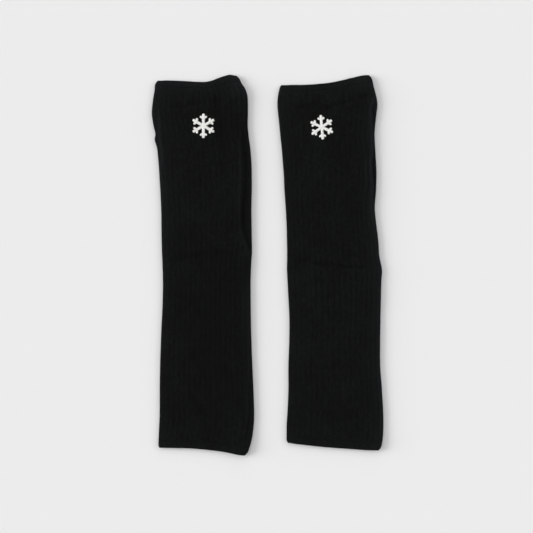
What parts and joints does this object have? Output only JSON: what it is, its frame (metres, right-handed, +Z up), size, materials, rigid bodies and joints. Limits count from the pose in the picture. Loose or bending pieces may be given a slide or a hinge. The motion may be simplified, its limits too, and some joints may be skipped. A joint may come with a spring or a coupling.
{
  "type": "pair of leg warmers",
  "caption": "Pair of black rib-knit leg warmers, laid flat side by side, with turned welts and a small white snowflake below each knee edge.",
  "frame": {"origin": "on the table, under the middle of the box round the pair", "axes": "+Z up from the table, +Y along the legs towards the knee ends, +X across both leg warmers"},
  "size_m": [0.254, 0.4174, 0.0093],
  "materials": {
    "rib_knit": "black rib knit in spun yarn, matt, with a faint nap",
    "embroidery": "off-white satin-stitch embroidery"
  },
  "bodies": {
    "root": {"left_tube": "rib_knit", "left_knee_welt": "rib_knit", "left_ankle_welt": "rib_knit", "left_snowflake": "embroidery", "right_tube": "rib_knit", "right_knee_welt": "rib_knit", "right_ankle_welt": "rib_knit", "right_snowflake": "embroidery"}
  },
  "joints": []
}
